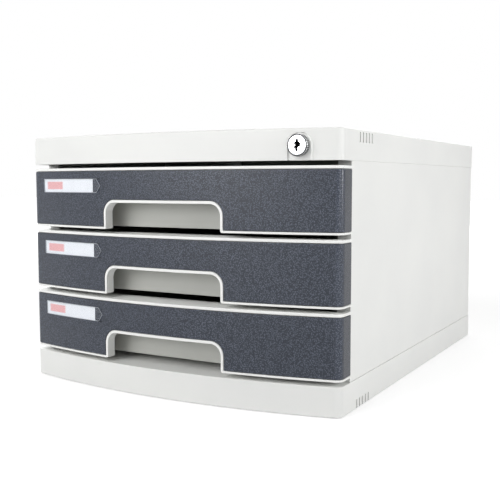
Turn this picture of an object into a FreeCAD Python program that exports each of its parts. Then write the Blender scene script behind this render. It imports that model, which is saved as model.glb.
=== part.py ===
import FreeCAD, Part
import math
import os

import Sketcher

# Desktop file drawer: a bowed three-drawer case with a lock in its top cover.
# Millimetres. +Z is up, the fronts face -Y, and the origin is the centre of the
# footprint on the surface that the feet stand on.

DIMENSIONS = {
    # Outer form of the case, seen from above: straight sides and a bowed front.
    "case_width": 284.0,
    "case_depth": 370.0,
    "case_height": 203.0,
    "bow_radius": 600.0,
    "corner_radius": 6.0,
    "back_corner": 1.2,
    # Stack of base, drawers and cover.
    "foot_proud": 0.5,
    "base_top": 22.7,
    "cover_height": 22.4,
    "front_height": 48.1,
    "gap": 3.4,
    "skin": 2.4,
    "edge_round": 1.5,
    "rib_half": 0.8,
    "rib_depth": 9.0,
    "rib_x": 70.0,
    "rib_end": 130.0,
    "rib_front": 50.0,
    "rib_back": 60.0,
    # Tongues of the cover and the base that locate the side panels.
    "tongue_gauge": 2.4,
    "tongue_lap": 4.0,
    "tongue_root": 6.0,
    "tongue_play": 0.2,
    "tongue_near": 20.0,
    "tongue_far": 115.0,
    "tongue_length": 40.0,
    # Feet.
    "foot_radius": 6.0,
    "foot_height": 3.0,
    "foot_x": 115.0,
    "foot_front": 140.0,
    "foot_back": 160.0,
    "foot_boss": 9.0,
    "foot_play": 0.2,
    # Grip grooves in the sides of the cover and the base.
    "groove_width": 2.0,
    "groove_depth": 1.2,
    "groove_length": 7.0,
    "groove_drop": 0.5,
    "groove_pitch": 5.9,
    "cover_groove_y": 136.0,
    "base_groove_y": 138.6,
    # Side panels, seen from above: a skin with a flange at each end.
    "panel_inset": 0.6,
    "panel_wall": 2.0,
    "panel_front": 150.5,
    "flange_width": 9.0,
    "back_inset": 2.6,
    "back_gauge": 1.8,
    "back_play": 0.3,
    # Runner channel that the tray's wings slide in.
    "rail_start": 133.0,
    "rail_end": 177.0,
    "rail_height": 30.0,
    "rail_gauge": 2.0,
    "channel": 6.0,
    "rail_reach": 9.5,
    "notch_play": 0.6,
    # Drawer front.
    "front_back": 151.0,
    "facing_gauge": 1.6,
    "shell_gauge": 2.2,
    "rim": 2.2,
    "rim_low": 1.65,
    "seam": 0.3,
    "bottom_flange": 9.0,
    "grip_half": 52.6,
    "grip_top": 20.8,
    "grip_round": 8.5,
    "lip_back": 174.0,
    "facing_play": 0.1,
    "hook_x": 85.0,
    "hook_half": 5.0,
    "hook_low": 32.0,
    "hook_gauge": 2.0,
    "hook_barb": 1.2,
    "hook_root": 176.1,
    "hook_back": 156.8,
    "hook_play": 0.2,
    # Tray.
    "tray_half": 129.0,
    "tray_front": 161.0,
    "tray_back": 175.0,
    "tray_bottom": 1.2,
    "tray_top": 44.5,
    "tray_wall": 2.0,
    "tray_round": 4.0,
    "wing_edge": 136.0,
    "wing_front": 145.0,
    "wing_back": 172.0,
    "wing_gauge": 2.0,
    "wing_play": 0.3,
    "stop_y": 120.0,
    "stop_length": 6.0,
    "lug_height": 3.2,
    "catch_edge": 133.5,
    "catch_front": 143.5,
    "catch_gauge": 3.0,
    "catch_low": 7.0,
    "catch_height": 8.0,
    "floor_rib_half": 0.9,
    "floor_rib_proud": 0.8,
    "floor_rib_pitch": 45.0,
    "floor_rib_end": 8.0,
    # Label in the facing.
    "label_left": 127.6,
    "card_right": 67.0,
    "window_right": 62.6,
    "window_tip": 58.2,
    "label_low": 28.4,
    "label_height": 11.2,
    "pocket_depth": 1.0,
    "window_gauge": 0.6,
    "card_gauge": 0.3,
    "label_play": 0.1,
    "slip_proud": 0.2,
    # Cam lock.
    "lock_x": 112.5,
    "lock_z": 191.0,
    "lock_face": 179.1,
    "lock_seat": 174.3,
    "lock_boss_back": 168.8,
    "lock_pad": 8.8,
    "bezel_radius": 7.8,
    "bezel_chamfer": 0.8,
    "barrel_radius": 6.0,
    "barrel_back": 153.0,
    "barrel_play": 0.2,
    "plug_radius": 4.5,
    "plug_disc": 6.2,
    "disc_gauge": 1.4,
    "disc_sunk": 0.1,
    "plug_back": 152.0,
    "plug_play": 0.08,
    "key_half": 0.75,
    "key_shift": 0.35,
    "key_ward": 2.1,
    "key_step": 1.3,
    "key_tall": 3.9,
    "key_depth": 14.0,
    "nut_flats": 16.0,
    "nut_gauge": 3.0,
    "cam_gauge": 2.0,
    "cam_radius": 5.5,
    "crank": 6.0,
    "crank_round": 3.0,
    "crank_pin": 1.5,
    "crank_angle": 45.0,
    "pin_back": 143.0,
    # Gang bar that the lock lowers.
    "bar_inner": 137.2,
    "bar_gauge": 2.0,
    "bar_front": 146.5,
    "bar_width": 10.0,
    "bar_bottom": 36.0,
    "arm_start": 5.5,
    "arm_half": 4.5,
    "slot_half": 2.0,
    "slot_start": 1.9,
    "slot_end": 8.3,
    "tab_reach": 130.2,
    "tab_low": 17.5,
    "tab_height": 4.0,
    "clip_height": 40.0,
    "clip_length": 6.0,
    "clip_gauge": 2.0,
    "clip_play": 0.4,
    "clip_lip": 3.0,
    # Screws.
    "screw_radius": 1.5,
    "screw_hole": 1.7,
    "screw_head": 3.2,
    "head_height": 1.8,
    "case_screw": 6.0,
    "cam_screw": 7.0,
    "low_screw_z": 45.0,
    "high_screw_z": 135.0,
}

TIERS = ("lower", "middle", "upper")
GROOVES = 5

DOCUMENT = FreeCAD.newDocument("desktop_file_drawer")
SHEET = DOCUMENT.addObject("Spreadsheet::Sheet", "Dims")
for row, (alias, size) in enumerate(DIMENSIONS.items(), start=1):
    SHEET.set(f"A{row}", alias)
    SHEET.set(f"B{row}", str(size))
    SHEET.setAlias(f"B{row}", alias)
DOCUMENT.recompute()


def dims(text):
    """Expression over the sheet, from words such as 'case_width / 2 - skin'."""
    words = text.replace("(", " ( ").replace(")", " ) ").split()
    named = " ".join(f"Dims.{word}" if word in DIMENSIONS else word for word in words)
    return named.replace("sqrt (", "sqrt(").replace("sin (", "sin(")


def number(text):
    """Present value of such an expression."""
    return float(SHEET.evalExpression(dims(text)))


# Heights and outlines that several pieces share.
HALF_WIDTH = "case_width / 2"
BACK = "case_depth / 2"
COVER_BOTTOM = "case_height - cover_height"
PITCH = "( front_height + gap )"
BOW_CENTRE = "( bow_radius - case_depth / 2 )"
ROUND_X = "( case_width / 2 - corner_radius )"
ROUND_Y = f"( {BOW_CENTRE} - sqrt ( ( bow_radius - corner_radius ) ^ 2 - {ROUND_X} ^ 2 ) )"
FLANGE_BACK = "( case_depth / 2 - back_inset )"
CHANNEL_TOP = "( rail_height + channel )"
WING_LOW = "( rail_height + wing_play )"
WING_TOP = "( rail_height + wing_play + wing_gauge )"


def tier_bottom(tier):
    """Height of the lower edge of one drawer's front."""
    return f"( base_top + gap + {tier} * {PITCH} )"


class Profile:
    """A sketch on one origin plane of a body, pinned by expressions over the sheet."""

    def __init__(self, body, name, plane, offset):
        origin_plane = next(f for f in body.Origin.OriginFeatures if f.Role == plane)
        self.sketch = body.newObject("Sketcher::SketchObject", f"{body.Name}_{name}")
        self.sketch.AttachmentSupport = (origin_plane, [""])
        self.sketch.MapMode = "FlatFace"
        self.sketch.setExpression("AttachmentOffset.Base.z", dims(offset))

    def bind(self, kind, *place, size):
        """Add one driving constraint and bind it to an expression."""
        index = self.sketch.addConstraint(Sketcher.Constraint(kind, *place, number(size)))
        self.sketch.renameConstraint(index, f"size{index}")
        self.sketch.setExpression(f"Constraints.size{index}", dims(size))

    def pin(self, geometry, end, x, y):
        """Hold one end or centre of a curve at a point."""
        self.bind("DistanceX", -1, 1, geometry, end, size=x)
        self.bind("DistanceY", -1, 1, geometry, end, size=y)

    def outline(self, corners):
        """Closed outline. Each corner is (x, y), or (x, y, turn, radius) where an arc
        that turns "left" or "right" leads on to the next corner."""
        ends = []
        count = len(corners)
        for here in range(count):
            start, end = corners[here], corners[(here + 1) % count]
            a = FreeCAD.Vector(number(start[0]), number(start[1]), 0)
            b = FreeCAD.Vector(number(end[0]), number(end[1]), 0)
            if len(start) == 2:
                geometry = self.sketch.addGeometry(Part.LineSegment(a, b))
                ends.append((geometry, 1, 2))
                continue
            ends.append(self.arc(a, b, start[2], start[3]))
        for here in range(count):
            geometry, first, last = ends[here]
            following, next_first, _ = ends[(here + 1) % count]
            self.sketch.addConstraint(
                Sketcher.Constraint("Coincident", geometry, last, following, next_first))
            self.pin(geometry, first, corners[here][0], corners[here][1])
        return self

    def arc(self, a, b, turn, radius):
        """Arc of under half a turn from a to b. Returns its index and its two ends."""
        size = number(radius)
        chord = b - a
        rise = math.sqrt(max(size ** 2 - (chord.Length / 2) ** 2, 0))
        side = FreeCAD.Vector(-chord.y, chord.x, 0).normalize()
        centre = (a + b) / 2 + side * (rise if turn == "left" else -rise)
        start, end = (a, b) if turn == "left" else (b, a)
        angles = [math.atan2(p.y - centre.y, p.x - centre.x) for p in (start, end)]
        circle = Part.Circle(centre, FreeCAD.Vector(0, 0, 1), size)
        geometry = self.sketch.addGeometry(Part.ArcOfCircle(circle, *angles))
        self.bind("Radius", geometry, size=radius)
        return (geometry, 1, 2) if turn == "left" else (geometry, 2, 1)

    def rectangle(self, x0, y0, x1, y1):
        return self.outline([(x0, y0), (x1, y0), (x1, y1), (x0, y1)])

    def rounded_rectangle(self, half, y0, y1, radius):
        """Rectangle centred on the Y axis with four equal rounded corners."""
        left, right = f"{radius} - {half}", f"{half} - {radius}"
        low, high = f"{y0} + {radius}", f"{y1} - {radius}"
        return self.outline([
            (left, y0), (right, y0, "left", radius),
            (half, low), (half, high, "left", radius),
            (right, y1), (left, y1, "left", radius),
            (f"0 - {half}", high), (f"0 - {half}", low, "left", radius),
        ])

    def circle(self, x, y, radius):
        centre = FreeCAD.Vector(number(x), number(y), 0)
        shape = Part.Circle(centre, FreeCAD.Vector(0, 0, 1), number(radius))
        geometry = self.sketch.addGeometry(shape)
        self.bind("Radius", geometry, size=radius)
        self.pin(geometry, 3, x, y)
        return self

    def bow(self, inset, back):
        """Outline of the case from above, drawn in by inset and closed along Y = back."""
        side = f"( case_width / 2 - {inset} )"
        share = f"( bow_radius - {inset} ) / ( bow_radius - corner_radius )"
        turn_x = f"( {ROUND_X} * {share} )"
        turn_y = f"( {BOW_CENTRE} - ( {BOW_CENTRE} - {ROUND_Y} ) * {share} )"
        small, large = f"( corner_radius - {inset} )", f"( bow_radius - {inset} )"
        return self.outline([
            (f"0 - {side}", back), (f"0 - {side}", ROUND_Y, "left", small),
            (f"0 - {turn_x}", turn_y, "left", large),
            (turn_x, turn_y, "left", small),
            (side, ROUND_Y), (side, back),
        ])

    def sharp_bow(self, inset, back):
        """The same outline for an inset larger than the corner radius."""
        side = f"( case_width / 2 - {inset} )"
        front = bow_y(side, inset)
        return self.outline([
            (f"0 - {side}", back), (f"0 - {side}", front, "left", f"bow_radius - {inset}"),
            (side, front), (side, back),
        ])

    def bow_patch(self, outer, inner, left, right):
        """Strip of the bowed front between two insets, from X = -left to X = -right."""
        return self.outline([
            (f"0 - {left}", bow_y(left, outer), "left", f"( bow_radius - {outer} )"),
            (f"0 - {right}", bow_y(right, outer)),
            (f"0 - {right}", bow_y(right, inner), "right", f"( bow_radius - {inner} )"),
            (f"0 - {left}", bow_y(left, inner)),
        ])

    def border(self):
        """Frame far outside the case, so that a cut trims all that is beyond an outline."""
        reach = "( case_width + case_depth )"
        return self.rectangle(f"0 - {reach}", f"0 - {reach}", reach, reach)

    def grip(self, spread, flared):
        """Handle cut-out, drawn out by spread: its upper corners are rounded, and its mouth
        may flare as it passes through the lower rim."""
        half, top = f"( grip_half + {spread} )", f"( grip_top + {spread} )"
        turn = f"( grip_round + {spread} )"
        below = "0 - gap"
        right = [(half, f"{top} - {turn}"), (half, below)]
        left = [(f"0 - {half}", below), (f"0 - {half}", f"{top} - {turn}", "right", turn)]
        if flared:
            flare = f"( {half} + rim_low )"
            right = [(half, f"{top} - {turn}"), (half, "rim_low", "left", "rim_low"),
                     (flare, "0 - 0"), (flare, below)]
            left = [(f"0 - {flare}", below), (f"0 - {flare}", "0 - 0", "left", "rim_low"),
                    (f"0 - {half}", "rim_low"), (f"0 - {half}", f"{top} - {turn}", "right", turn)]
        crown = [(f"{turn} - {half}", top), (f"{half} - {turn}", top, "right", turn)]
        return self.outline(crown + right + left)


def bow_y(x, inset):
    """Y of the bowed front, drawn in by inset, at one X."""
    return f"( {BOW_CENTRE} - sqrt ( ( bow_radius - {inset} ) ^ 2 - ( {x} ) ^ 2 ) )"


def new_body(name):
    body = DOCUMENT.addObject("PartDesign::Body", name)
    body.Label = name
    return body


def place(piece, x="0", y="0", z="0"):
    """Bind a piece's position to the sheet."""
    for axis, size in zip("xyz", (x, y, z)):
        piece.setExpression(f"Placement.Base.{axis}", dims(size))


def add(body, profile, length, toward=1):
    """Pad a profile along its plane's normal, or against it where toward is -1."""
    feature = body.newObject("PartDesign::Pad", f"{profile.sketch.Name}_pad")
    feature.Profile = profile.sketch
    feature.Reversed = toward < 0
    feature.setExpression("Length", dims(length))
    return feature


def cut(body, profile, length, toward=1):
    """Pocket a profile along its plane's normal, or against it where toward is -1."""
    feature = body.newObject("PartDesign::Pocket", f"{profile.sketch.Name}_cut")
    feature.Profile = profile.sketch
    feature.Reversed = toward > 0
    feature.setExpression("Length", dims(length))
    return feature


def repeat(body, feature, direction, pitch, count):
    """Repeat one feature along an axis of a sketch or of the body."""
    pattern = body.newObject("PartDesign::LinearPattern", f"{feature.Name}_row")
    pattern.Originals = [feature]
    pattern.Direction = direction
    pattern.Occurrences = count
    pattern.setExpression("Length", dims(f"{pitch} * {count - 1}"))
    body.Tip = pattern
    return pattern


def ease_edges(body, kind, size, chosen):
    """Fillet or chamfer each edge of the body so far whose bounding box passes a test."""
    DOCUMENT.recompute()
    base = body.Tip
    names = [f"Edge{n}" for n, edge in enumerate(base.Shape.Edges, start=1)
             if chosen(edge.BoundBox)]
    feature = body.newObject(f"PartDesign::{kind}", f"{body.Name}_{kind}{len(body.Group)}")
    feature.Base = (base, names)
    feature.setExpression("Radius" if kind == "Fillet" else "Size", dims(size))
    body.Tip = feature
    return feature


def near(value, text):
    return abs(value - number(text)) < 0.01


def spin(body, profile):
    """Revolve a profile a full turn about its sketch's vertical axis."""
    feature = body.newObject("PartDesign::Revolution", f"{profile.sketch.Name}_spin")
    feature.Profile = profile.sketch
    feature.ReferenceAxis = (profile.sketch, ["V_Axis"])
    feature.Angle = 360
    return feature


def gather(name, pieces):
    """One node of several identical loose solids."""
    group = DOCUMENT.addObject("Part::Compound", name)
    group.Label = name
    group.Links = pieces
    return group


def is_back_corner(box):
    """An upright edge at a rear corner of the case."""
    return near(box.YMin, BACK) and box.XLength < 0.01 and box.ZLength > 5


def grooves(body, name, low, first):
    """A row of upright grip grooves in each side."""
    wall = f"( {HALF_WIDTH} - groove_depth )"
    for side, plane_offset, toward in (("right", wall, 1), ("left", f"0 - {wall}", -1)):
        groove = Profile(body, f"{name}_{side}", "YZ_Plane", plane_offset)
        groove.rectangle(f"0 - {first} - groove_width / 2", low,
                         f"groove_width / 2 - {first}", f"{low} + groove_length")
        one = cut(body, groove, "groove_depth * 2", toward)
        repeat(body, one, (groove.sketch, ["H_Axis"]), "groove_pitch", GROOVES)


def tongues(body, start, toward):
    """Tongues that locate the side panels, two on each side."""
    outer = f"( {HALF_WIDTH} - panel_wall - tongue_play )"
    profile = Profile(body, "tongues", "XY_Plane", start)
    for low in ("tongue_near", "tongue_far"):
        high = f"{low} + tongue_length"
        profile.rectangle(f"{outer} - tongue_gauge", low, outer, high)
        profile.rectangle(f"0 - {outer}", low, f"tongue_gauge - {outer}", high)
    add(body, profile, "tongue_lap + tongue_root", toward)


def stiffeners(body, start):
    """Crossed ribs that hang from the skin of the cover or the base."""
    lengthwise = Profile(body, "long_ribs", "XY_Plane", start)
    for x in ("rib_x", "0", "0 - rib_x"):
        lengthwise.rectangle(f"{x} - rib_half", "0 - rib_end", f"{x} + rib_half",
                             f"{BACK} - skin / 2")
    add(body, lengthwise, "rib_depth", -1)
    crosswise = Profile(body, "cross_ribs", "XY_Plane", start)
    reach = f"( {HALF_WIDTH} - skin / 2 )"
    for y in ("0 - rib_front", "rib_back"):
        crosswise.rectangle(f"0 - {reach}", f"{y} - rib_half", reach, f"{y} + rib_half")
    add(body, crosswise, "rib_depth", -1)


def top_cover():
    """Bowed lid moulding, open below, with the flat seat of the lock in its front."""
    body = new_body("top_cover")
    block = Profile(body, "outline", "XY_Plane", COVER_BOTTOM).bow("0", BACK)
    add(body, block, "cover_height")
    ease_edges(body, "Chamfer", "back_corner", is_back_corner)
    ease_edges(body, "Fillet", "edge_round", lambda box: near(box.ZMin, "case_height"))
    hollow = Profile(body, "hollow", "XY_Plane", COVER_BOTTOM).bow("skin", f"{BACK} - skin")
    cut(body, hollow, "cover_height - skin")
    stiffeners(body, "case_height - skin")
    tongues(body, f"{COVER_BOTTOM} + tongue_root", -1)
    left, right = "lock_x - lock_pad", "lock_x + lock_pad"
    pad = [(left, COVER_BOTTOM), (right, COVER_BOTTOM), (right, "lock_z", "left", "lock_pad"),
           ("lock_x", "lock_z + lock_pad", "left", "lock_pad"), (left, "lock_z")]
    seat = Profile(body, "lock_seat", "XZ_Plane", "lock_seat").outline(pad)
    add(body, seat, "lock_seat - lock_boss_back", -1)
    flat = Profile(body, "lock_flat", "XZ_Plane", "lock_seat").outline(pad)
    cut(body, flat, f"{BACK} - lock_seat + skin", 1)
    bore = Profile(body, "lock_bore", "XZ_Plane", "lock_face")
    bore.circle("lock_x", "lock_z", "barrel_radius + barrel_play")
    cut(body, bore, "lock_face - barrel_back", -1)
    grooves(body, "groove", "case_height - edge_round - groove_drop - groove_length",
            "cover_groove_y")
    return body


def base_tray():
    """Bowed plinth, open below, with a boss and a recess for each foot."""
    body = new_body("base_tray")
    block = Profile(body, "outline", "XY_Plane", "foot_proud").bow("0", BACK)
    add(body, block, "base_top - foot_proud")
    ease_edges(body, "Chamfer", "back_corner", is_back_corner)
    ease_edges(body, "Chamfer", "edge_round / 2", lambda box: near(box.ZMax, "foot_proud"))
    hollow = Profile(body, "hollow", "XY_Plane", "foot_proud").bow("skin", f"{BACK} - skin")
    cut(body, hollow, "base_top - foot_proud - skin")
    stiffeners(body, "base_top - skin")
    tongues(body, "base_top - tongue_root", 1)
    bosses = Profile(body, "bosses", "XY_Plane", "foot_proud * 2")
    recesses = Profile(body, "recesses", "XY_Plane", "foot_proud * 2")
    for x, y in foot_places():
        bosses.circle(x, y, "foot_boss")
        recesses.circle(x, y, "foot_radius + foot_play")
    add(body, bosses, "base_top - skin - foot_proud * 2")
    cut(body, recesses, "foot_height - foot_proud * 2")
    grooves(body, "groove", "foot_proud", "base_groove_y")
    return body


def foot_places():
    return [(x, y) for y in ("0 - foot_front", "foot_back") for x in ("foot_x", "0 - foot_x")]


def rubber_feet():
    """Four round rubber pads let into the base."""
    pads = []
    for index, (x, y) in enumerate(foot_places()):
        pad = DOCUMENT.addObject("Part::Cylinder", f"foot{index}")
        pad.setExpression("Radius", dims("foot_radius"))
        pad.setExpression("Height", dims("foot_height"))
        place(pad, x, y)
        pads.append(pad)
    return gather("rubber_feet", pads)


def side_panel(side, sign):
    """Side moulding: flanged skin, runner channels and the notches that the tray passes."""
    body = new_body(f"{side}_side_panel")

    def x(text):
        return f"{sign} * ( {text} )"

    outer, inner = f"{HALF_WIDTH} - panel_inset", f"{HALF_WIDTH} - panel_wall"
    tip = f"{inner} - flange_width"
    front, front_in = "0 - panel_front", "panel_wall - panel_front"
    section = Profile(body, "section", "XY_Plane", "base_top").outline([
        (x(outer), front), (x(outer), BACK), (x(inner), BACK), (x(inner), FLANGE_BACK),
        (x(tip), FLANGE_BACK), (x(tip), f"{FLANGE_BACK} - panel_wall"),
        (x(inner), f"{FLANGE_BACK} - panel_wall"), (x(inner), front_in),
        (x(tip), front_in), (x(tip), front)])
    add(body, section, f"{COVER_BOTTOM} - base_top")
    ease_edges(body, "Chamfer", "back_corner",
               lambda box: is_back_corner(box) and near(abs(box.XMin), outer))

    low = tier_bottom(0)
    rails = Profile(body, "rails", "XZ_Plane", "rail_start")
    for height in (f"{low} + rail_height - rail_gauge", f"{low} + {CHANNEL_TOP}"):
        rails.rectangle(x(f"{inner} - rail_reach"), height,
                        x(f"{inner} + panel_wall / 2"), f"{height} + rail_gauge")
    one = add(body, rails, "rail_start + rail_end", -1)
    repeat(body, one, (rails.sketch, ["V_Axis"]), PITCH, len(TIERS))

    notches = Profile(body, "notches", "XZ_Plane", "panel_front")
    notches.rectangle(x(f"{tip} - notch_play"), f"{low} + {WING_LOW} - notch_play",
                      x("wing_edge + notch_play"), f"{low} + {WING_TOP} + notch_play")
    notches.rectangle(x(f"{tip} - notch_play"), f"{low} + catch_low - notch_play",
                      x("catch_edge + notch_play"),
                      f"{low} + catch_low + catch_height + notch_play")
    one = cut(body, notches, "panel_wall", -1)
    repeat(body, one, (notches.sketch, ["V_Axis"]), PITCH, len(TIERS))

    holes = Profile(body, "holes", "XZ_Plane", f"0 - {FLANGE_BACK}")
    for place_x, place_z in screw_places():
        if number(place_x) * sign > 0:
            holes.circle(place_x, place_z, "screw_hole")
    cut(body, holes, "panel_wall", 1)
    if side == "right":
        bar_clips(body, inner)
    return body


def bar_clips(body, inner):
    """Hooks behind the gang bar that keep it against the right side panel."""
    back = "0 - bar_front + bar_width + clip_play"
    lip = "bar_inner - clip_play"
    root, end = f"{inner} + panel_wall / 2", f"{back} - clip_lip"
    clip = Profile(body, "clips", "XY_Plane", f"{tier_bottom(0)} + clip_height").outline([
        (root, back), (root, f"{back} + clip_gauge"), (f"{lip} - clip_gauge", f"{back} + clip_gauge"),
        (f"{lip} - clip_gauge", end), (lip, end), (lip, back)])
    one = add(body, clip, "clip_length")
    upright = next(f for f in body.Origin.OriginFeatures if f.Role == "Z_Axis")
    repeat(body, one, (upright, [""]), PITCH, len(TIERS))


def screw_places():
    """X and Z of the back panel's screws, in the middle of the rear flanges."""
    x = f"( {HALF_WIDTH} - panel_wall - flange_width / 2 )"
    return [(f"{side} * {x}", z) for side in (1, -1) for z in ("low_screw_z", "high_screw_z")]


def back_panel():
    """Flat sheet screwed to the inside of the side panels' rear flanges."""
    body = new_body("back_panel")
    reach = f"( {HALF_WIDTH} - panel_wall - back_play )"
    face = f"( {FLANGE_BACK} - panel_wall )"
    sheet = Profile(body, "sheet", "XZ_Plane", f"0 - {face}")
    sheet.rectangle(f"0 - {reach}", "base_top + back_play", reach, f"{COVER_BOTTOM} - back_play")
    add(body, sheet, "back_gauge")
    holes = Profile(body, "holes", "XZ_Plane", f"0 - {face}")
    for x, z in screw_places():
        holes.circle(x, z, "screw_hole")
    cut(body, holes, "back_gauge")
    return body


def screw(name, length, toward, x, y, z):
    """Pan-head screw along Y; its head lies on Y = y and its shank runs toward +Y or -Y."""
    body = new_body(name)
    profile = Profile(body, "profile", "XY_Plane", "0")
    tip, crown = f"{toward} * ( {length} )", f"{-toward} * head_height"
    profile.outline([("0", crown), ("screw_head", crown), ("screw_head", "0"),
                     ("screw_radius", "0"), ("screw_radius", tip), ("0", tip)])
    spin(body, profile)
    place(body, x, y, z)
    return body


def case_screws():
    """Screws that hold the back panel to the rear flanges."""
    screws = [screw(f"case_screw{index}", "case_screw", -1, x, FLANGE_BACK, z)
              for index, (x, z) in enumerate(screw_places())]
    return gather("case_screws", screws)


def drawer_tray(tier):
    """Open tray with runner wings, stop lugs and the rib that the gang bar catches."""
    body = new_body(f"{TIERS[tier]}_drawer_tray")
    shell = Profile(body, "shell", "XY_Plane", "tray_bottom")
    shell.rounded_rectangle("tray_half", "0 - tray_front", "tray_back", "tray_round")
    add(body, shell, "tray_top - tray_bottom")
    inside = Profile(body, "inside", "XY_Plane", "tray_bottom + tray_wall")
    inside.rounded_rectangle("( tray_half - tray_wall )", "tray_wall - tray_front",
                             "tray_back - tray_wall", "( tray_round - tray_wall )")
    cut(body, inside, "tray_top")

    wings = Profile(body, "wings", "XY_Plane", WING_LOW)
    lugs = Profile(body, "lugs", "XY_Plane", WING_TOP)
    root = "( tray_half - tray_wall / 2 )"
    for sign in (1, -1):
        inner, outer = f"{sign} * {root}", f"{sign} * wing_edge"
        wings.rectangle(inner, "0 - wing_front", outer, "wing_back")
        lugs.rectangle(inner, "stop_y", outer, "stop_y + stop_length")
        lugs.rectangle(inner, "wing_back - 2 * stop_length", outer, "wing_back")
    add(body, wings, "wing_gauge")
    add(body, lugs, "lug_height")

    catch = Profile(body, "catch", "XY_Plane", "catch_low")
    catch.rectangle(root, "0 - catch_front", "catch_edge", "catch_gauge - catch_front")
    add(body, catch, "catch_height")

    ribs = Profile(body, "floor_ribs", "XY_Plane", "tray_bottom")
    for step in range(-2, 3):
        ribs.rectangle(f"{step} * floor_rib_pitch - floor_rib_half",
                       "floor_rib_end - tray_front",
                       f"{step} * floor_rib_pitch + floor_rib_half", "tray_back - floor_rib_end")
    add(body, ribs, "floor_rib_proud", -1)

    slots = Profile(body, "hook_slots", "XZ_Plane", "tray_front")
    for x in ("hook_x", "0 - hook_x"):
        slots.rectangle(f"{x} - hook_half - hook_play", "hook_low - hook_barb - hook_play",
                        f"{x} + hook_half + hook_play", "hook_low + hook_gauge + hook_play")
    cut(body, slots, "tray_wall", -1)
    place(body, z=tier_bottom(tier))
    return body


def drawer_front(tier):
    """Pale front moulding: bowed shell, rims, top ledge and the lipped handle cut-out."""
    body = new_body(f"{TIERS[tier]}_drawer_front")
    end = "( 0 - front_back )"
    shell = "( facing_gauge + shell_gauge )"
    block = Profile(body, "outline", "XY_Plane", "0").bow("0", end)
    add(body, block, "front_height")
    hollow = Profile(body, "hollow", "XY_Plane", "rim").bow(shell, "0")
    cut(body, hollow, "front_height - rim * 2")
    mouth = Profile(body, "mouth", "XY_Plane", "0").sharp_bow("bottom_flange", "0")
    cut(body, mouth, "rim * 2")
    ledge = Profile(body, "ledge", "XY_Plane", "front_height - rim * 2")
    inner = f"( {HALF_WIDTH} - {shell} )"
    ledge.rectangle(f"0 - {inner}", "tray_wall - tray_front", inner, "0")
    cut(body, ledge, "rim * 3")

    arms = Profile(body, "hook_arms", "XZ_Plane", "hook_back")
    barbs = Profile(body, "hook_barbs", "XZ_Plane", "hook_back")
    for x in ("hook_x", "0 - hook_x"):
        left, right = f"{x} - hook_half", f"{x} + hook_half"
        arms.rectangle(left, "hook_low", right, "hook_low + hook_gauge")
        barbs.rectangle(left, "hook_low - hook_barb", right, "hook_low + hook_gauge / 2")
    add(body, arms, "hook_root - hook_back")
    add(body, barbs, "tray_front - tray_wall - hook_back - hook_play")

    recess = Profile(body, "facing_recess", "XY_Plane", "rim_low").border()
    recess.bow("facing_gauge", "0")
    cut(body, recess, "front_height - rim_low - rim")
    lip = Profile(body, "lip", "XZ_Plane", "lip_back").grip("rim", False)
    add(body, lip, "case_depth / 2 + rim - lip_back")
    grip = Profile(body, "grip", "XZ_Plane", "tray_front + tray_wall").grip("0", True)
    cut(body, grip, "case_depth / 2 - tray_front")
    trim = Profile(body, "trim", "XY_Plane", "0 - gap * 2").border().bow("0", "0")
    cut(body, trim, "front_height + gap * 4")
    under = Profile(body, "under", "XY_Plane", "0 - gap * 2").border()
    cut(body, under, "gap * 2")
    place(body, z=tier_bottom(tier))
    return body


def drawer_facing(tier):
    """Dark plate over the front moulding, round its corners, with a pocket for the label."""
    body = new_body(f"{TIERS[tier]}_drawer_facing")
    low = "( rim_low + seam )"
    tall = "( front_height - rim_low - rim - 2 * seam )"
    plate = Profile(body, "plate", "XY_Plane", low).bow("0", "( 0 - front_back )")
    add(body, plate, tall)
    inside = Profile(body, "inside", "XY_Plane", low).bow("( facing_gauge - facing_play )", "0")
    cut(body, inside, tall)
    grip = Profile(body, "grip", "XZ_Plane", "tray_front").grip("( rim + seam )", False)
    cut(body, grip, "case_depth / 2 - tray_front + rim")
    pocket = Profile(body, "label_pocket", "XY_Plane", "label_low")
    pocket.bow_patch("( 0 - pocket_depth )", "pocket_depth", "label_left", "window_tip")
    cut(body, pocket, "label_height")
    place(body, z=tier_bottom(tier))
    return body


def label_card(tier):
    """Paper name card in the facing's pocket, curved with the front."""
    body = new_body(f"{TIERS[tier]}_label_card")
    card = Profile(body, "card", "XY_Plane", "label_low + label_play")
    card.bow_patch("( pocket_depth - card_gauge )", "pocket_depth",
                   "( label_left - 2 * label_play )", "card_right")
    add(body, card, "label_height - 2 * label_play")
    place(body, z=tier_bottom(tier))
    return body


def label_window(tier):
    """Clear slip over the card, with a pointed pull tab at its right end."""
    body = new_body(f"{TIERS[tier]}_label_window")
    slip = Profile(body, "slip", "XY_Plane", "label_low + label_play")
    slip.bow_patch("( 0 - slip_proud )", "( window_gauge - slip_proud )",
                   "( label_left - 2 * label_play )", "window_tip")
    add(body, slip, "label_height - 2 * label_play")
    low, high = "label_low", "label_low + label_height"
    middle = "label_low + label_height / 2"
    point = Profile(body, "point", "XZ_Plane", "tray_front")
    for edge in (low, high):
        point.outline([("0 - window_right", edge), ("skin - window_tip", edge),
                       ("skin - window_tip", middle), ("0 - window_tip", middle)])
    cut(body, point, "case_depth / 2 - tray_front")
    place(body, z=tier_bottom(tier))
    return body


def at_lock(body):
    place(body, x="lock_x", z="lock_z")
    return body


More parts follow.
